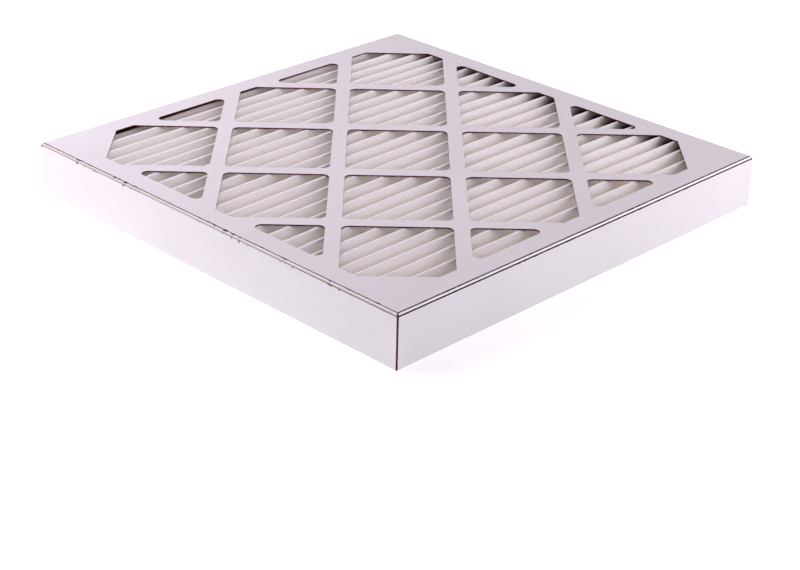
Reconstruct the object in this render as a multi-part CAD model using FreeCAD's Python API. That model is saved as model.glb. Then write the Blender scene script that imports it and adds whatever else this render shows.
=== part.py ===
import FreeCAD, Part
import math
import os

# A panel air filter: two shallow trays of die-cut card, one nested in the other,
# hold one pleated sheet of non-woven filter media between their grilles.
# The panel lies on its air-leaving face at z = 0, with the air-entering face up.
# The origin is the middle of the underside, and the pleats run along X.

# Panel, over the outside of the larger tray
side = 495.0
depth = 52.5

# Card of both trays, and how it is folded and cut at the corners
board = 0.8
fold_radius = 0.3
flap_end_gap = 0.15
flap_taper = 0.35

# How the smaller tray sits in the larger one
nest_gap = 0.5
rim_drop = 2.4
foot_gap = 0.3

# Grille that is die-cut into both faces
cells_across = 3
edge_cell_inset = 3.75
border = 24.8
bar = 14.5
cell_corner_radius = 7.0
half_cell_corner_radius = 6.0

# Pleated media, and the glue that holds it
pleats = 26
media_thickness = 1.8
crest_glue = 0.3
wall_glue = 0.3
end_leg_drop = 3.0

# Sizes that follow from the ones above
nested_side = side - 2.0 * (board + nest_gap)
rim_height = depth - rim_drop
nested_height = depth - board - foot_gap
media_side = nested_side - 2.0 * (board + wall_glue)
window = side - 2.0 * border
cell_pitch = (side - 2.0 * edge_cell_inset) / cells_across
cell_side = cell_pitch / math.sqrt(2.0) - bar

ALONG_X = FreeCAD.Vector(1.0, 0.0, 0.0)
ALONG_Y = FreeCAD.Vector(0.0, 1.0, 0.0)
ALONG_Z = FreeCAD.Vector(0.0, 0.0, 1.0)
CENTRE = FreeCAD.Vector(0.0, 0.0, 0.0)
RIGHT_ANGLE = 90.0


def line(start, end):
    return Part.LineSegment(start, end).toShape()


def arc(stops):
    return Part.Arc(*stops).toShape()


def arc_stops(centre, radius, first, last):
    """Start, middle and end of an arc in a plane across X. Angles are in radians, from Y towards Z."""
    stops = []
    for angle in (first, (first + last) / 2.0, last):
        stops.append(centre + FreeCAD.Vector(0.0, math.cos(angle), math.sin(angle)) * radius)
    return stops


# Card trays


def fold(tray_side):
    """The scored bend between a tray's face and its +Y wall: a quarter ring, with its outside down."""
    outer_radius = fold_radius + board
    half_length = tray_side / 2.0 - board - flap_end_gap
    centre = FreeCAD.Vector(0.0, tray_side / 2.0 - outer_radius, outer_radius)
    outside = arc_stops(centre, outer_radius, -math.pi / 2.0, 0.0)
    inside = arc_stops(centre, fold_radius, 0.0, -math.pi / 2.0)
    edges = [arc(outside), line(outside[-1], inside[0]), arc(inside), line(inside[-1], outside[0])]
    bend = Part.Face(Part.Wire(edges)).extrude(ALONG_X * (2.0 * half_length))
    bend.translate(ALONG_X * -half_length)
    return bend


def leg(tray_side, height):
    """The upright part of the +Y wall. Its ends lean in, so that the folded flaps clear each other."""
    low_end = tray_side / 2.0 - board - flap_end_gap
    high_end = low_end - flap_taper
    low = fold_radius + board
    outline = [(low_end, low), (high_end, height), (-high_end, height), (-low_end, low), (low_end, low)]
    corners = [FreeCAD.Vector(x, tray_side / 2.0 - board, z) for x, z in outline]
    return Part.Face(Part.makePolygon(corners)).extrude(ALONG_Y * board)


def upright_prism(width, x, y, angle):
    """A square prism through the card of a face, turned by an angle in degrees about its own middle."""
    prism = Part.makeBox(width, width, 3.0 * board, FreeCAD.Vector(-width / 2.0, -width / 2.0, -board))
    prism.rotate(CENTRE, ALONG_Z, angle)
    prism.translate(FreeCAD.Vector(x, y, 0.0))
    return prism


def rounded(prism, radius):
    """The prism with all its upright edges rounded."""
    upright = [edge for edge in prism.Edges if abs(edge.tangentAt(edge.FirstParameter).z) > 0.5]
    return prism.makeFillet(radius, upright)


def grille_openings():
    """Every opening of one face.

    Diamonds with rounded corners stand in offset rows, and the border cuts their
    points off straight. The ones centred just inside the panel's edge leave triangles,
    which are rounded all round, and the panel's corners stay solid.
    """
    frame = upright_prism(window, 0.0, 0.0, 0.0)
    openings = []
    for column in range(-cells_across, cells_across + 1):
        for row in range(-cells_across, cells_across + 1):
            edges_met = [abs(column), abs(row)].count(cells_across)
            if (column + row) % 2 or edges_met == 2:
                continue
            x = column * cell_pitch / 2.0
            y = row * cell_pitch / 2.0
            cell = upright_prism(cell_side, x, y, RIGHT_ANGLE / 2.0)
            if edges_met == 1:
                openings.append(rounded(cell.common(frame), half_cell_corner_radius))
            else:
                openings.append(rounded(cell, cell_corner_radius).common(frame))
    return openings


def card_tray(tray_side, height):
    """One folded tray, with its outside down: a square face with its grille, and four walls."""
    flat = tray_side - 2.0 * (fold_radius + board)
    tray = Part.makeBox(flat, flat, board, FreeCAD.Vector(-flat / 2.0, -flat / 2.0, 0.0))
    for quarter in range(4):
        for piece in (fold(tray_side), leg(tray_side, height)):
            piece.rotate(CENTRE, ALONG_Z, quarter * RIGHT_ANGLE)
            tray = tray.fuse(piece)
    return tray.cut(grille_openings()).removeSplitter()


def outer_card_tray():
    """The air-leaving tray. Its walls stand outside, and their cut edges stop short of the entering face."""
    return card_tray(side, rim_height)


def inner_card_tray():
    """The air-entering tray, turned over, with its walls inside those of the other tray."""
    tray = card_tray(nested_side, nested_height)
    tray.rotate(CENTRE, ALONG_X, 2.0 * RIGHT_ANGLE)
    tray.translate(ALONG_Z * depth)
    return tray


# Pleated media


def flank_lean(half_pitch, rise):
    """The angle from upright of a flank, whose face leaves one crease and passes the next a thickness away."""
    apart = math.hypot(half_pitch, rise)
    return math.acos(media_thickness / apart) - math.atan2(rise, half_pitch)


def sheet_face(bends, lean, leg_top):
    """The edges along one face of the sheet, in order: a leg, the arcs or creases with flanks between, a leg."""
    slope = FreeCAD.Vector(0.0, math.tan(lean), 0.0)
    first = bends[0][0]
    last = bends[-1][-1]
    previous = first + (ALONG_Z - slope) * (leg_top - first.z)
    edges = []
    for stops in bends:
        edges.append(line(previous, stops[0]))
        if len(stops) > 1:
            edges.append(arc(stops))
        previous = stops[-1]
    end = last + (ALONG_Z + slope) * (leg_top - last.z)
    edges.append(line(previous, end))
    return edges


def pleated_media():
    """One sheet folded into even pleats between the two grilles.

    Each fold is pressed to a sharp crease on its inside, and its outside is an arc
    about that crease. The flanks are straight and tangent to the arcs. The first and
    last legs rise to the walls, and their cut edges stop short of the entering face.
    """
    high = depth - board - crest_glue - media_thickness
    low = board + crest_glue + media_thickness
    leg_top = depth - board - end_leg_drop
    half_pitch = media_side / 2.0 / pleats
    lean = flank_lean(half_pitch, high - low)
    upper = []
    lower = []
    for step in range(1 - pleats, pleats):
        y = step * half_pitch
        if (step + pleats) % 2:
            valley = FreeCAD.Vector(0.0, y, low)
            upper.append([valley])
            lower.append(arc_stops(valley, media_thickness, lean - math.pi, -lean))
        else:
            crest = FreeCAD.Vector(0.0, y, high)
            upper.append(arc_stops(crest, media_thickness, math.pi - lean, lean))
            lower.append([crest])
    top = sheet_face(upper, lean, leg_top)
    under = sheet_face(lower, lean, leg_top)
    cut_edges = [
        line(top[0].Vertexes[0].Point, under[0].Vertexes[0].Point),
        line(top[-1].Vertexes[-1].Point, under[-1].Vertexes[-1].Point),
    ]
    outline = Part.Wire(Part.__sortEdges__(top + under + cut_edges))
    sheet = Part.Face(outline).extrude(ALONG_X * media_side)
    sheet.translate(ALONG_X * (-media_side / 2.0))
    return sheet


os.makedirs("parts", exist_ok=True)
for make in (outer_card_tray, inner_card_tray, pleated_media):
    solid = make()
    solid.exportStep("parts/" + make.__name__ + ".step")
    box = solid.BoundBox
    print(make.__name__, len(solid.Solids), solid.isValid(), round(solid.Volume, 1), box)
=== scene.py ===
import math
from types import SimpleNamespace

import bpy
import numpy as np
from mathutils import Matrix, Vector


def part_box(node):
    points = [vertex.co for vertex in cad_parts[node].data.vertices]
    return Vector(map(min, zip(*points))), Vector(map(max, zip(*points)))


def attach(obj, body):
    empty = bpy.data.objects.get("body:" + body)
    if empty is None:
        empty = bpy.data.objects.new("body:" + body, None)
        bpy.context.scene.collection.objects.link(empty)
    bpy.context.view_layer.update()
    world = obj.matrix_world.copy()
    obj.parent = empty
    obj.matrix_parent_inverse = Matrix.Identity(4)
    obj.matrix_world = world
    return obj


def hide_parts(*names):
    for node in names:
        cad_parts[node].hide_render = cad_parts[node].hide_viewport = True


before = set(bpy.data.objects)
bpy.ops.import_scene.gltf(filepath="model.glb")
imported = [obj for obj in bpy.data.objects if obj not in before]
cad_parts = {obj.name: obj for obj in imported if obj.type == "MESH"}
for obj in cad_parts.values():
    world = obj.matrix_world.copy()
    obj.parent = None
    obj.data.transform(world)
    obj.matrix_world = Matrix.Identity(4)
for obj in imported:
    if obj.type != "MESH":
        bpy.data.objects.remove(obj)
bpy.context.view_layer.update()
MM = 0.001

# Card trays
# Both halves of the frame are folded up from white-lined kraft card, die-cut with the grille.
# The lining faces outwards. The inside and every cut edge show the brown of the card itself, darkened in
# places as painted shade.

LINING = (0.692, 0.682, 0.705)
LINING_DULL = (0.672, 0.662, 0.685)
# The fold tones are painted highlight and shade on the rounded bends of the folds.
FOLD_WHITE = (0.93, 0.90, 0.91)
FOLD_CREAM = (0.76, 0.73, 0.71)
FOLD_TAN = (0.58, 0.55, 0.53)
KRAFT = (0.20, 0.125, 0.085)
KRAFT_DARK = (0.055, 0.030, 0.026)
CUT_MAROON = (0.130, 0.014, 0.018)
CUT_BROWN = (0.045, 0.017, 0.014)
CUT_BLACK = (0.012, 0.004, 0.007)
CUT_TAN = (0.30, 0.235, 0.21)
CUT_CREAM = (0.66, 0.60, 0.57)
CARD = 0.8 * MM
LINING_DEPTH = 0.6 * CARD
FLAP_END = CARD + 0.15 * MM
RIM_DROP = 2.4 * MM
SOFT_EDGE = 0.10 * MM
CUT_FRAY = 0.60 * MM
TEAR = 1.3 * MM
TORN_STRETCH = (0.46, 0.56)
TORN_PATCH = (0.54, 0.60)
FEWER_TEARS_ACROSS_Y = 0.8
CRACK_INSET = 1.35 * MM
CRACK_HALF_WIDTH = 0.75 * MM
CRACK_LEAST = 0.35
CRACK_MORE_TORN = 0.7
CRACK_MORE_ACROSS_Y = 0.25
RIM_TONES_Y = (-0.20, 0.02)
FOLD_TONES_Y = (-0.20, 0.20)
CARD_GRAIN = 1500.0
CARD_PATCHES = 170.0
CARD_STRETCHES = 24.0
CARD_CLOUDS = 9.0
GRAIN_SPREAD = (0.35, 0.65)
CLOUD_SPREAD = (0.35, 0.7)
BARE_ROUGH = 0.9
LINED_ROUGH = 0.5
LINED_GLOSS = 0.35
CARD_WAVES = 0.5 * MM
CARD_FELT = 0.012 * MM


def add(tree, kind, inputs=None, **settings):
    """A node of that kind. Each input, by name or number, is a link or a value."""
    node = tree.nodes.new("ShaderNode" + kind)
    for name, value in settings.items():
        setattr(node, name, value)
    for name, value in (inputs or {}).items():
        if isinstance(value, bpy.types.NodeSocket):
            tree.links.new(value, node.inputs[name])
        else:
            node.inputs[name].default_value = value
    return node


def calc(tree, operation, *terms):
    """The result of one sum, product or comparison."""
    return add(tree, "Math", dict(enumerate(terms)), operation=operation).outputs[0]


def blend(tree, share, first, second):
    """A colour between two: the first where the share is 0, and the second where it is 1."""
    inputs = {0: share}
    for number, colour in ((6, first), (7, second)):
        inputs[number] = colour if isinstance(colour, bpy.types.NodeSocket) else (*colour, 1.0)
    return add(tree, "Mix", inputs, data_type="RGBA").outputs[2]


def ramp(tree, value, low, high, start=0.0, end=1.0):
    """The value taken from between low and high to between start and end, smoothly, and held there."""
    inputs = {0: value, 1: low, 2: high, 3: start, 4: end}
    return add(tree, "MapRange", inputs, interpolation_type="SMOOTHSTEP").outputs[0]


def grain(tree, place, scale, detail=2.0, stretch=(1.0, 1.0, 1.0)):
    """Cloudy noise from 0 to 1, with so many clouds to a metre."""
    spread = add(tree, "Mapping", {"Vector": place, "Scale": stretch}).outputs[0]
    inputs = {"Vector": spread, "Scale": scale, "Detail": detail, "Roughness": 0.6}
    return add(tree, "TexNoise", inputs).outputs[0]


def new_material(name):
    """An empty material: its tree, and the shader that its surface comes from."""
    material = bpy.data.materials.new(name)
    material.use_nodes = True
    tree = material.node_tree
    return material, tree, tree.nodes["Principled BSDF"]


def place_on_tray(tree, tray, face_up):
    """Where a point lies on a tray: its place from the tray's middle, and its reach to each kind of side.

    A reach is nought at a side of the tray's box and negative within it. The sides are the
    two across X, the two across Y, the tray's face, and the one that the tray is open to.
    """
    low, high = (np.array(corner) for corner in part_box(tray))
    half = (high - low) / 2.0
    centre = (high + low) / 2.0
    at = SimpleNamespace()
    coordinates = add(tree, "TexCoord").outputs["Object"]
    at.place = add(tree, "Mapping", {"Vector": coordinates, "Location": tuple(-centre)}).outputs[0]
    at.x, at.y, z = add(tree, "SeparateXYZ", {0: at.place}).outputs
    up = calc(tree, "MULTIPLY", z, face_up)
    at.reach_x = calc(tree, "SUBTRACT", calc(tree, "ABSOLUTE", at.x), half[0])
    at.reach_y = calc(tree, "SUBTRACT", calc(tree, "ABSOLUTE", at.y), half[1])
    at.reach_up = calc(tree, "SUBTRACT", up, half[2])
    at.reach_open = calc(tree, "SUBTRACT", calc(tree, "MULTIPLY", up, -1.0), half[2])
    at.across_y = calc(tree, "GREATER_THAN", at.reach_y, at.reach_x)
    return at


def lined_sides(tree, at, facing, face_up):
    """1 where a point lies at the tray's box, on any side but the open one, and faces out of it."""
    lined = 0.0
    sides = (
        (at.reach_x, at.x, facing[0]),
        (at.reach_y, at.y, facing[1]),
        (at.reach_up, face_up, facing[2]),
    )
    for reach, towards, way in sides:
        outward = calc(tree, "MULTIPLY", calc(tree, "SIGN", towards), way)
        there = calc(tree, "GREATER_THAN", reach, -LINING_DEPTH)
        away = calc(tree, "GREATER_THAN", outward, 0.5)
        lined = calc(tree, "MAXIMUM", lined, calc(tree, "MULTIPLY", there, away))
    return lined


def worn_edges(tree, at, fine, patchy):
    """Where the lining is worn off: along the rims of the walls, at the flaps' ends, and in tears.

    It frays back by an uneven width. In some stretches of the rim it is also torn, in
    patches that reach further, and there are fewer of these along the sides across Y.
    """
    worn = SimpleNamespace()
    halves = [calc(tree, "MULTIPLY", noise, 0.5) for noise in (fine, patchy)]
    worn.ragged = calc(tree, "ADD", *halves)
    worn.fray = calc(tree, "MULTIPLY", worn.ragged, CUT_FRAY)
    stretch = grain(tree, at.place, CARD_STRETCHES, 1.0)
    tear = calc(tree, "MULTIPLY", ramp(tree, stretch, *TORN_STRETCH), ramp(tree, patchy, *TORN_PATCH))
    kept = calc(tree, "SUBTRACT", 1.0, calc(tree, "MULTIPLY", at.across_y, FEWER_TEARS_ACROSS_Y))
    worn.tear = calc(tree, "MULTIPLY", tear, kept)
    torn = calc(tree, "ADD", worn.fray, calc(tree, "MULTIPLY", worn.tear, TEAR))
    worn.rim = ramp(tree, calc(tree, "ADD", at.reach_open, torn), 0.0, SOFT_EDGE)
    at_corner = calc(tree, "ADD", calc(tree, "MINIMUM", at.reach_x, at.reach_y), FLAP_END)
    flap = ramp(tree, calc(tree, "ADD", at_corner, worn.fray), 0.0, SOFT_EDGE)
    worn.bare = calc(tree, "MAXIMUM", worn.rim, flap)
    return worn


def scored_folds(tree, at, worn, white):
    """The lining's colour with its folds in it, and where the lining is open.

    Each fold is a strip of painted highlight: white along the sides across Y, and along those
    across X cream, shading to a darker tan towards +Y as painted shade. Along the two folds
    nearest to the corner at -X and -Y the lining is cracked, in an uneven dark line on the
    strip's inner edge: the brown of the card, near-black along the sides across Y as painted
    shade of the groove. Along the sides across Y a near-black band of painted shade stands
    for the gap between this tray's walls and the other's rims.
    """
    edge = calc(tree, "MAXIMUM", at.reach_x, at.reach_y)
    inset = calc(tree, "ADD", edge, CRACK_INSET)
    # Painted highlight on the fold strips, whiter along the sides across Y; along X, painted shade darkens it
    # towards +Y.
    fold_x = blend(tree, ramp(tree, at.y, *FOLD_TONES_Y), FOLD_CREAM, FOLD_TAN)
    fold_painted_light = blend(tree, at.across_y, fold_x, FOLD_WHITE)
    white = blend(tree, ramp(tree, inset, 0.0, SOFT_EDGE), white, fold_painted_light)
    # The crack shows the card's brown, widened along the sides across Y where it stands for the shade of the
    # opened groove.
    opened = calc(tree, "ADD", calc(tree, "MULTIPLY", at.across_y, CRACK_MORE_ACROSS_Y), worn.ragged)
    opened = calc(tree, "ADD", calc(tree, "MULTIPLY", worn.tear, CRACK_MORE_TORN), opened)
    width = calc(tree, "MULTIPLY", calc(tree, "ADD", opened, CRACK_LEAST), CRACK_HALF_WIDTH)
    within = calc(tree, "SUBTRACT", width, calc(tree, "ABSOLUTE", inset))
    near = calc(tree, "LESS_THAN", calc(tree, "ADD", at.x, at.y), 0.0)
    crack = calc(tree, "MULTIPLY", ramp(tree, within, 0.0, SOFT_EDGE), near)
    # Painted shade: the inner wall below the other tray's rims is near-black for the shadow in the gap
    # between the walls.
    behind = calc(tree, "SUBTRACT", calc(tree, "MULTIPLY", at.reach_up, -1.0), RIM_DROP)
    behind = ramp(tree, calc(tree, "ADD", behind, worn.fray), 0.0, SOFT_EDGE)
    gap_shade = calc(tree, "MULTIPLY", behind, at.across_y)
    return white, calc(tree, "MAXIMUM", crack, gap_shade)


def card_material(name, tray, face_up, cracked):
    """The finish of one tray: cloudy white lining on its outside, and bare card elsewhere.

    Bare card is mottled brown, and darker maroon on its upright faces as painted shade. The
    rims of the walls are tan to cream along the sides across X, and black along those across Y
    as painted shade of the gap between the trays.
    """
    material, tree, shader = new_material(name)
    at = place_on_tray(tree, tray, face_up)
    normal = add(tree, "NewGeometry").outputs["Normal"]
    facing = add(tree, "SeparateXYZ", {0: normal}).outputs
    fine = grain(tree, at.place, CARD_GRAIN, 4.0)
    patchy = grain(tree, at.place, CARD_PATCHES, 3.0)
    cloud = grain(tree, at.place, CARD_CLOUDS)
    worn = worn_edges(tree, at, fine, patchy)
    bare = worn.bare

    white = blend(tree, ramp(tree, cloud, *CLOUD_SPREAD), LINING, LINING_DULL)
    brown = blend(tree, ramp(tree, fine, *GRAIN_SPREAD), KRAFT_DARK, KRAFT)
    # Painted shade: upright bare faces are maroon, darker than the card's own brown, for the shadow at the
    # cut edges.
    upright = calc(tree, "LESS_THAN", calc(tree, "ABSOLUTE", facing[2]), 0.5)
    brown = blend(tree, upright, brown, CUT_MAROON)
    rim_x = blend(tree, ramp(tree, at.y, *RIM_TONES_Y), CUT_TAN, CUT_CREAM)
    # Painted shade: along the sides across Y the rims are near-black, for the shadow of the gap between the
    # nested walls.
    brown = blend(tree, worn.rim, brown, blend(tree, at.across_y, rim_x, CUT_BLACK))
    brown = blend(tree, worn.tear, brown, CUT_BLACK)
    if cracked:
        white, crack_and_gap_shade = scored_folds(tree, at, worn, white)
        bare = calc(tree, "MAXIMUM", bare, crack_and_gap_shade)
        # Cracks are dark brown, and near-black along the sides across Y as painted shade; the gap band is
        # near-black painted shade.
        brown = blend(tree, crack_and_gap_shade, brown, blend(tree, at.across_y, CUT_BROWN, CUT_BLACK))
    lined = lined_sides(tree, at, facing, face_up)
    lined = calc(tree, "MULTIPLY", lined, calc(tree, "SUBTRACT", 1.0, bare))

    tree.links.new(blend(tree, lined, brown, white), shader.inputs["Base Color"])
    tree.links.new(ramp(tree, lined, 0.0, 1.0, BARE_ROUGH, LINED_ROUGH), shader.inputs["Roughness"])
    tree.links.new(ramp(tree, lined, 0.0, 1.0, 0.0, LINED_GLOSS), shader.inputs["Specular IOR Level"])
    waves = add(tree, "Bump", {"Height": cloud, "Distance": CARD_WAVES, "Strength": 0.5})
    felt = {"Height": fine, "Distance": CARD_FELT, "Strength": 0.6, "Normal": waves.outputs[0]}
    tree.links.new(add(tree, "Bump", felt).outputs[0], shader.inputs["Normal"])
    return material


for tray, face_up, cracked in (("outer_card_tray", -1.0, False), ("inner_card_tray", 1.0, True)):
    skin = card_material(tray + "_card", tray, face_up, cracked)
    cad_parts[tray].data.materials.clear()
    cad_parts[tray].data.materials.append(skin)

# Pleated media
# One sheet of white non-woven, scored and folded into pleats and glued to the trays at its
# folds. The folds wander, the flanks between them bow, and the pack has drifted as a whole.

media_low, media_high = (np.array(corner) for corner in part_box("pleated_media"))
FOLDS = 51
MEDIA = 1.8 * MM
CREASE = 0.12 * MM
LEG_DROP = 2.2 * MM
ARC_POINTS = 7
FLANK_POINTS = 5
COLUMNS = 61
FOLD_SWAY = 0.35 * MM
FOLD_DIP = 0.5 * MM
FLANK_BOW = 0.6 * MM
SWAY_LENGTH = 0.16
SWAY_SPREAD = (0.6, 2.0)
SWAY_SINES = 3
PACK_WAVES = (
    (1, 3.6, 1.0, -4.8),
    (2, -0.85, 0.0, 0.0),
    (3, 0.0, -0.8, 0.0),
    (4, 1.9, 0.0, 0.0),
    (6, 0.8, 0.0, 0.0),
)
LAST_CREST = -3
LAST_CREST_DROP = 4.0 * MM
MEDIA_WHITE = (0.828, 0.820, 0.834)
MEDIA_DULL = (0.803, 0.793, 0.800)
# Painted shade: the sheet is darker and warmer down the folds.
MEDIA_DEEP_SHADE = (0.767, 0.733, 0.690)
DEEP_SHADE_SPAN = (15.0 * MM, 1.0 * MM)
# Painted shade: dark brown deep in the folds under the borders near the walls at +X and +Y.
MEDIA_WALL_SHADE = (0.10, 0.045, 0.040)
WALL_SHADE_BAND = (204.0 * MM, 230.0 * MM)
WALL_SHADE_SPAN = (9.0 * MM, 0.5 * MM)
WALL_SHADE_AT_TOP = 0.25
LAST_FOLD_BAND = 9.0 * MM
# Painted glow: a faint warm emission, growing with depth, stands in for light that seeps through the sheet.
SEEP = 0.048
SEEP_WARM = (1.0, 0.84, 0.58)
SEEP_SPAN = (5.0 * MM, 0.5 * MM)
TANGLE_GRAIN = 2200.0
TANGLE_STRETCH = (0.6, 1.0, 1.0)
TANGLE_RELIEF = 0.10 * MM
CLUMP_GRAIN = 260.0
CLUMP_SPREAD = (0.35, 0.7)
CLUMP_RELIEF = 0.25 * MM


def wander(rows, along, swing, seed):
    """A slow wave along each row: three sines of uneven length and phase added, a third of the swing each."""
    chance = np.random.default_rng(seed)
    length = SWAY_LENGTH * chance.uniform(*SWAY_SPREAD, (SWAY_SINES, rows, 1))
    phase = chance.uniform(0.0, 2.0 * math.pi, (SWAY_SINES, rows, 1))
    return swing / SWAY_SINES * np.sin(2.0 * math.pi * along / length + phase).sum(axis=0)


def pack_drift(across, along):
    """How far the whole pack of folds lies towards +Y, at a share of the way across it and a place along it.

    Sines of whole half-waves from wall to wall are added. Each has a swing in the middle
    of its folds, a change of it towards +X, and a change towards both ends.
    """
    end = along / media_high[0]
    drift = 0.0
    for half_waves, swing, towards_x, towards_ends in PACK_WAVES:
        size = swing + towards_x * end + towards_ends * end ** 2
        drift = drift + np.sin(half_waves * math.pi * across) * size
    return drift * MM


def pleat_profile():
    """The middle of the sheet across its folds, as (y, z), and the way its upper side faces.

    Each fold is an arc about its crease, from one flank's lean to the other's, over the
    top at a crest and under the bottom at a valley. A flank is the straight run between
    two arcs, and the first and last run up to the walls. Each row also names the stretch
    that it is on and its share of the way from one fold to the next.
    """
    outer = CREASE + MEDIA
    middle = CREASE + MEDIA / 2.0
    crest_z = media_high[2] - outer
    valley_z = media_low[2] + outer
    pitch = (media_high[1] - media_low[1]) / 2.0 / ((FOLDS + 1) / 2.0)
    apart = math.hypot(pitch, crest_z - valley_z)
    lean = math.acos(2.0 * middle / apart) - math.atan2(crest_z - valley_z, pitch)
    fold = np.arange(FOLDS)
    rising = np.where(fold % 2, 1.0, -1.0)[:, None]
    centre_y = ((fold - (FOLDS - 1) / 2.0) * pitch)[:, None]
    centre_z = np.where(rising > 0.0, crest_z, valley_z)
    angle = np.linspace(math.pi - lean, lean, ARC_POINTS)[None, :]
    arc = np.stack((centre_y + middle * np.cos(angle), centre_z + rising * middle * np.sin(angle)), axis=-1)
    arc_way = np.stack((rising * np.cos(angle), np.sin(angle) + 0.0 * rising), axis=-1)
    leg_rise = media_high[2] - LEG_DROP - arc[0, 0, 1]
    first = arc[:1, 0] + leg_rise * np.array([[-math.tan(lean), 1.0]])
    last = arc[-1:, -1] + leg_rise * np.array([[math.tan(lean), 1.0]])
    start = np.concatenate((first, arc[:, -1]))[:, None]
    end = np.concatenate((arc[:, 0], last))[:, None]
    share = np.linspace(0.0, 1.0, FLANK_POINTS + 2)[None, 1:-1, None]
    flank = start + (end - start) * share
    run = (end - start) / np.linalg.norm(end - start, axis=-1, keepdims=True)
    flank_way = np.stack((-run[..., 1], run[..., 0]), axis=-1) + 0.0 * share
    stretch = np.arange(FOLDS + 1)[:, None] + np.zeros((1, FLANK_POINTS))
    shares = share[..., 0] + np.zeros((FOLDS + 1, 1))

    def in_order(at_flanks, at_arcs, at_first, at_last):
        """Rows in the sheet's order: an end, every flank with the fold after it, the last flank, an end."""
        body = np.concatenate((at_flanks[:-1], at_arcs), axis=1)
        flat = body.reshape(-1, *body.shape[2:])
        return np.concatenate((at_first, flat, at_flanks[-1], at_last))

    middle_line = in_order(flank, arc, first, last)
    way = in_order(flank_way, arc_way, flank_way[0, :1], flank_way[-1, :1])
    fold_stretch = fold[:, None] + 1.0 + np.zeros((1, ARC_POINTS))
    row_stretch = in_order(stretch, fold_stretch, np.zeros(1), np.full(1, FOLDS + 1.0))
    row_share = in_order(shares, 0.0 * fold_stretch, np.zeros(1), np.zeros(1))
    return middle_line, way, row_stretch.astype(int), row_share[:, None]


def new_piece(name, points, faces, smooth_below):
    """A piece from its points and faces, smooth apart from edges that turn by more than an angle."""
    mesh = bpy.data.meshes.new(name)
    mesh.from_pydata(points.tolist(), [], faces.tolist())
    mesh.polygons.foreach_set("use_smooth", np.ones(len(faces), dtype=bool))
    mesh.set_sharp_from_angle(angle=math.radians(smooth_below))
    mesh.update()
    piece = bpy.data.objects.new(name, mesh)
    bpy.context.scene.collection.objects.link(piece)
    return piece


def media_sheet():
    """The pleated sheet: its profile carried along X, with a wander of its own for every fold and flank.

    Each fold is shifted sideways by its wander and the drift of the whole pack. A crest
    sinks and a valley rises by half the dip and its wander, and the last crest sinks by a
    drop more, less and less towards +X. A row between two folds takes its shifts from
    both by its share. Each flank also bows along its normal as a parabola that is nought
    at its folds. The two faces lie half a thickness either side, and the rim joins them.
    """
    line, way, stretch, share = pleat_profile()
    along = np.linspace(media_low[0], media_high[0], COLUMNS)
    stations = FOLDS + 2
    crest = np.where(np.arange(stations) % 2, -1.0, 1.0)[:, None]
    held = np.ones((stations, 1))
    held[[0, -1]] = 0.0
    across = np.linspace(0.0, 1.0, stations)[:, None]
    sideways = held * wander(stations, along, FOLD_SWAY, seed=11) + pack_drift(across, along)
    dip = held * -crest * (FOLD_DIP + wander(stations, along, FOLD_DIP, seed=12)) / 2.0
    dip[LAST_CREST] -= LAST_CREST_DROP * (0.5 - 0.5 * np.sin(math.pi / 2.0 * along / media_high[0]))
    bow = wander(stations, along, FLANK_BOW, seed=13)[stretch] * 4.0 * share * (1.0 - share)
    after = np.minimum(stretch + 1, stations - 1)
    y = line[:, :1] + sideways[stretch] * (1.0 - share) + sideways[after] * share + bow * way[:, :1]
    z = line[:, 1:] + dip[stretch] * (1.0 - share) + dip[after] * share + bow * way[:, 1:]
    faces_y = [y + side * way[:, :1] * MEDIA / 2.0 for side in (1.0, -1.0)]
    faces_z = [z + side * way[:, 1:] * MEDIA / 2.0 for side in (1.0, -1.0)]
    ring_y = np.concatenate((faces_y[0], faces_y[1][::-1]))
    ring_z = np.concatenate((faces_z[0], faces_z[1][::-1]))
    points = np.stack((along[None, :] + 0.0 * ring_y, ring_y, ring_z), axis=-1).reshape(-1, 3)
    number = np.arange(ring_y.size).reshape(ring_y.shape)
    ahead = np.roll(number, -1, axis=0)
    skin = np.stack((number[:, :-1], number[:, 1:], ahead[:, 1:], ahead[:, :-1]), axis=-1).reshape(-1, 4)
    rows = len(line)
    over, under = number[:rows], number[rows:][::-1]
    rims = []
    for column, turn in ((0, 1), (-1, -1)):
        rim = np.stack((over[:-1, column], over[1:, column], under[1:, column], under[:-1, column]), axis=-1)
        rims.append(rim[:, ::turn])
    return points, np.concatenate([skin] + rims)


def by_depth(tree, z, span, deep, shallow):
    """A value by the depth below the folds' tops: deep at the span's first, shallow at its second."""
    return ramp(tree, z, media_high[2] - span[0], media_high[2] - span[1], deep, shallow)


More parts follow.
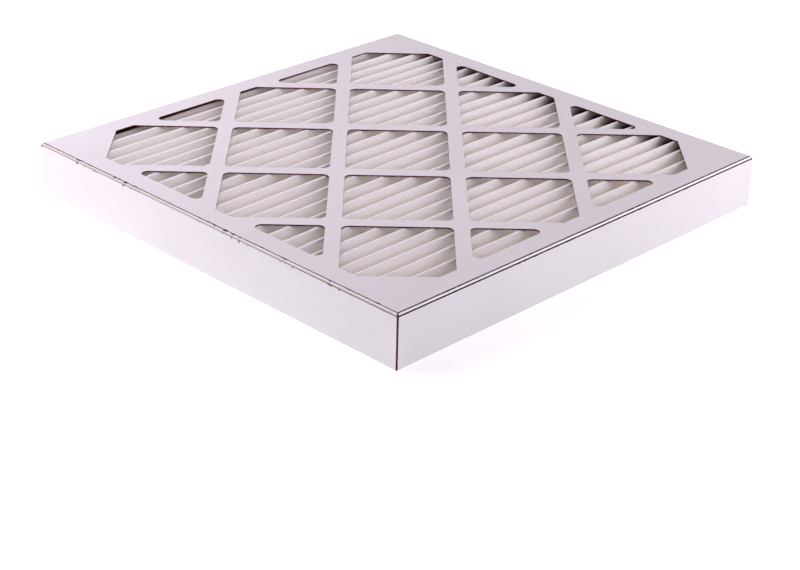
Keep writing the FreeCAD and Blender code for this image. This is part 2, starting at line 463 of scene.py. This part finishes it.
def media_material():
    """Soft white felted fibres: a fine tangle and faint clumps, painted warmer and darker down the folds as
    shade.

    A faint warm painted glow, which grows with depth, stands in for light that seeps through
    the sheet. Near the walls at +X and +Y the deeper part, shaded by the border, is painted
    dark brown shade, and doesn't glow.
    """
    material, tree, shader = new_material("pleated_media_fibres")
    place = add(tree, "TexCoord").outputs["Object"]
    x, y, z = add(tree, "SeparateXYZ", {0: place}).outputs
    tangle = grain(tree, place, TANGLE_GRAIN, 5.0, TANGLE_STRETCH)
    clumps = grain(tree, place, CLUMP_GRAIN, 3.0)
    colour = blend(tree, ramp(tree, clumps, *CLUMP_SPREAD), MEDIA_WHITE, MEDIA_DULL)
    # Painted shade: darker and warmer with depth below the folds' tops.
    colour = blend(tree, by_depth(tree, z, DEEP_SHADE_SPAN, 1.0, 0.0), colour, MEDIA_DEEP_SHADE)
    # Painted shade under the borders near the walls at +X and +Y, stronger deeper down.
    out = calc(tree, "MAXIMUM", x, calc(tree, "SUBTRACT", y, LAST_FOLD_BAND))
    buried = by_depth(tree, z, WALL_SHADE_SPAN, 1.0, WALL_SHADE_AT_TOP)
    wall_shade = calc(tree, "MULTIPLY", ramp(tree, out, *WALL_SHADE_BAND), buried)
    colour = blend(tree, wall_shade, colour, MEDIA_WALL_SHADE)
    tree.links.new(colour, shader.inputs["Base Color"])
    shader.inputs["Roughness"].default_value = 0.95
    shader.inputs["Specular IOR Level"].default_value = 0.2
    shader.inputs["Sheen Weight"].default_value = 0.15
    # Painted glow from the sheet's own emission, stronger deeper down, and none where the wall shade is
    # painted.
    seep = by_depth(tree, z, SEEP_SPAN, SEEP, 0.0)
    seep = calc(tree, "MULTIPLY", seep, calc(tree, "SUBTRACT", 1.0, wall_shade))
    shader.inputs["Emission Color"].default_value = (*SEEP_WARM, 1.0)
    tree.links.new(seep, shader.inputs["Emission Strength"])
    coarse = add(tree, "Bump", {"Height": clumps, "Distance": CLUMP_RELIEF, "Strength": 0.6})
    fine = {"Height": tangle, "Distance": TANGLE_RELIEF, "Strength": 0.7, "Normal": coarse.outputs[0]}
    tree.links.new(add(tree, "Bump", fine).outputs[0], shader.inputs["Normal"])
    return material


media = new_piece("media_sheet", *media_sheet(), smooth_below=40.0)
media.data.materials.append(media_material())
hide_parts("pleated_media")
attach(media, "root")

# Torn card fibres and painted shade
# The die tears the card's underside a little, so a ragged fringe of fibres hangs from every cut
# edge of the upper grille. It is part of the card, and its near-black to maroon colour paints the shadow line
# under the edge.

FIBRE_STEP = 0.8 * MM
FIBRE_HALF_WIDTH = (0.5 * MM, 1.1 * MM)
FIBRE_DROP = (0.25 * MM, 1.1 * MM)
FIBRE_ROOT = 0.4 * MM
FIBRE_HOLD = 0.05 * MM
FIBRE_LEAN_OUT = 0.15 * MM
FIBRE_LEAN_ALONG = 0.8
FIBRE_MOTTLE = 900.0
MOTTLE_SPREAD = (0.4, 0.65)
GRILLE_REACH = 0.23
UNDERSIDE_SLACK = 0.01 * MM


def cut_edges():
    """The lower edges of the upper grille's cut faces: their starts, ends and ways out of the card.

    A cut face is upright, and lies nearer to the middle than the tray's own walls do. Its
    lower edge runs along the card's underside.
    """
    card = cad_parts["inner_card_tray"].data
    points = np.empty(len(card.vertices) * 3)
    card.vertices.foreach_get("co", points)
    points = points.reshape(-1, 3)
    corners = np.empty(len(card.loops), dtype=np.int32)
    card.loops.foreach_get("vertex_index", corners)
    corners = corners.reshape(-1, 3)
    ways = np.empty(len(card.polygons) * 3)
    card.polygons.foreach_get("normal", ways)
    ways = ways.reshape(-1, 3)
    starts = points[corners]
    ends = points[np.roll(corners, -1, axis=1)]
    underside = points[:, 2].max() - CARD + UNDERSIDE_SLACK
    inside = abs(points[corners].mean(axis=1)[:, :2]).max(axis=1) < GRILLE_REACH
    cut = inside & (abs(ways[:, 2]) < 0.1)
    low = (starts[..., 2] < underside) & (ends[..., 2] < underside) & cut[:, None]
    return starts[low], ends[low], ways[np.nonzero(low)[0]]


def torn_fibres_and_shade():
    """Slivers side by side along every cut edge: upright pyramids with three-cornered bases in the card.

    Each base spreads along the edge both ways and back into the card. The tip hangs below
    the edge by a chance drop, and leans a little along the edge and out over the opening.
    """
    start, end, way = cut_edges()
    chance = np.random.default_rng(21)
    length = np.linalg.norm(end - start, axis=1)
    count = np.ceil(length / FIBRE_STEP).astype(int)
    edge = np.repeat(np.arange(len(count)), count)
    place = np.arange(len(edge)) - np.repeat(np.cumsum(count) - count, count)
    share = ((place + chance.uniform(0.0, 1.0, len(edge))) / count[edge])[:, None]
    run = ((end - start) / length[:, None])[edge]
    out = way[edge]
    root = start[edge] + (end - start)[edge] * share
    root[:, 2] += FIBRE_HOLD
    half = chance.uniform(*FIBRE_HALF_WIDTH, (len(edge), 1))
    tip = root + run * half * chance.uniform(-FIBRE_LEAN_ALONG, FIBRE_LEAN_ALONG, (len(edge), 1))
    tip = tip + out * chance.uniform(0.0, FIBRE_LEAN_OUT, (len(edge), 1))
    tip[:, 2] -= FIBRE_HOLD + chance.uniform(*FIBRE_DROP, len(edge))
    points = np.stack((root - run * half, root + run * half, root - out * FIBRE_ROOT, tip), axis=1)
    sides = np.array(((0, 1, 2), (1, 0, 3), (2, 1, 3), (0, 2, 3)))
    faces = sides[None] + 4 * np.arange(len(edge))[:, None, None]
    return points.reshape(-1, 3), faces.reshape(-1, 3)


def fibre_shade_material():
    """Bare fibres, mottled near-black to maroon: painted shade of the line under the cut edges."""
    material, tree, shader = new_material("torn_fibres_and_painted_shade")
    place = add(tree, "TexCoord").outputs["Object"]
    mottle = ramp(tree, grain(tree, place, FIBRE_MOTTLE, 3.0), *MOTTLE_SPREAD)
    # Painted shade: the fringe is near-black to maroon, for the shadow under the cut edges.
    tree.links.new(blend(tree, mottle, CUT_BLACK, CUT_MAROON), shader.inputs["Base Color"])
    shader.inputs["Roughness"].default_value = 1.0
    shader.inputs["Specular IOR Level"].default_value = 0.0
    return material


fibre_shade = new_piece("torn_fibres_and_painted_shade", *torn_fibres_and_shade(), smooth_below=30.0)
fibre_shade.data.materials.append(fibre_shade_material())
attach(fibre_shade, "root")

# Floor, light and camera
# A seamless pale floor that glows a little and sweeps up far away, with soft boxes over the
# panel's right and left corners, beyond its sides and overhead. All the light is lilac white.

FLOOR_WHITE = (0.93, 0.93, 0.93)
FLOOR_GLOW = 0.38
FLOOR_REACH = 9.0
FLOOR_FLAT = 5.0
FLOOR_RISE = 1.4
FLOOR_RINGS = 17
RING_POINTS = 96
LIGHT_TINT = (1.0, 0.912, 0.985)
SKY_GLOW = 0.32
LIGHTS = (
    ("right_corner_box", (0.95, -0.95, 0.45), (0.25, -0.25, 0.0), (0.9, 0.6), 8.0),
    ("right_side_box", (1.15, -0.55, 0.2), (0.15, -0.25, 0.02), (0.6, 0.3), 5.0),
    ("left_corner_box", (-0.95, 0.95, 0.45), (-0.25, 0.25, 0.0), (0.9, 0.6), 2.2),
    ("left_high_box", (-0.7, 0.7, 1.0), (-0.15, 0.15, 0.0), (0.8, 0.8), 9.0),
    ("left_side_box", (-0.45, 1.0, 0.6), (-0.2, 0.2, 0.0), (0.5, 0.5), 6.1),
    ("overhead_box", (0.0, 0.0, 1.5), (0.0, 0.0, 0.0), (1.2, 1.2), 1.6),
)
VIEW_AZIMUTH = math.radians(-45.73)
VIEW_ELEVATION = math.radians(26.70)
VIEW_ROLL = math.radians(1.37)
VIEW_DISTANCE = 1.656
VIEW_AIM = Vector((-0.1330, -0.1375, 0.0))
LENS = 82.8
SENSOR = 36.0


def floor():
    """A round floor that sweeps up at its rim: rings of points about a middle one.

    Past the flat part, a ring's height grows with the square of its way to the rim.
    """
    turn = np.linspace(0.0, 2.0 * math.pi, RING_POINTS, endpoint=False)[None, :]
    radius = np.linspace(FLOOR_FLAT, FLOOR_REACH, FLOOR_RINGS)[:, None]
    height = FLOOR_RISE * ((radius - FLOOR_FLAT) / (FLOOR_REACH - FLOOR_FLAT)) ** 2
    rings = np.stack((radius * np.cos(turn), radius * np.sin(turn), height + 0.0 * turn), axis=-1)
    points = np.concatenate((np.zeros((1, 3)), rings.reshape(-1, 3)))
    number = np.arange(1, len(points)).reshape(rings.shape[:2])
    after = np.roll(number, -1, axis=1)
    middle = np.stack((0 * number[0], number[0], after[0]), axis=-1)
    lower = np.stack((number[:-1], number[1:], after[1:]), axis=-1).reshape(-1, 3)
    upper = np.stack((number[:-1], after[1:], after[:-1]), axis=-1).reshape(-1, 3)
    piece = new_piece("floor", points, np.concatenate((middle, lower, upper)), smooth_below=30.0)
    material, tree, shader = new_material("floor_paper")
    shader.inputs["Base Color"].default_value = (*FLOOR_WHITE, 1.0)
    shader.inputs["Roughness"].default_value = 0.9
    shader.inputs["Specular IOR Level"].default_value = 0.1
    shader.inputs["Emission Color"].default_value = (1.0, 1.0, 1.0, 1.0)
    shader.inputs["Emission Strength"].default_value = FLOOR_GLOW
    piece.data.materials.append(material)


def soft_box(name, place, aim, size, power):
    """A rectangular area light at a place, turned towards what it lights."""
    lamp = bpy.data.lights.new(name, "AREA")
    lamp.shape = "RECTANGLE"
    lamp.size, lamp.size_y = size
    lamp.energy = power
    lamp.color = LIGHT_TINT
    holder = bpy.data.objects.new(name, lamp)
    holder.location = place
    holder.rotation_euler = (Vector(aim) - Vector(place)).to_track_quat("-Z", "Y").to_euler()
    bpy.context.scene.collection.objects.link(holder)


floor()
for light in LIGHTS:
    soft_box(*light)
sky = bpy.data.worlds.new("studio")
sky.use_nodes = True
sky.node_tree.nodes["Background"].inputs["Color"].default_value = (*LIGHT_TINT, 1.0)
sky.node_tree.nodes["Background"].inputs["Strength"].default_value = SKY_GLOW
bpy.context.scene.world = sky
bpy.context.scene.view_settings.view_transform = "Standard"

back = Vector((
    math.sin(VIEW_AZIMUTH) * math.cos(VIEW_ELEVATION),
    -math.cos(VIEW_AZIMUTH) * math.cos(VIEW_ELEVATION),
    math.sin(VIEW_ELEVATION),
))
right = Vector((math.cos(VIEW_AZIMUTH), math.sin(VIEW_AZIMUTH), 0.0))
upward = back.cross(right)
rolled_right = right * math.cos(VIEW_ROLL) + upward * math.sin(VIEW_ROLL)
rolled_up = back.cross(rolled_right)
camera = bpy.data.objects.new("camera", bpy.data.cameras.new("camera"))
camera.data.lens = LENS
camera.data.sensor_width = SENSOR
turned = Matrix((rolled_right, rolled_up, back)).transposed()
camera.matrix_world = Matrix.Translation(VIEW_AIM + back * VIEW_DISTANCE) @ turned.to_4x4()
bpy.context.scene.collection.objects.link(camera)
bpy.context.scene.camera = camera
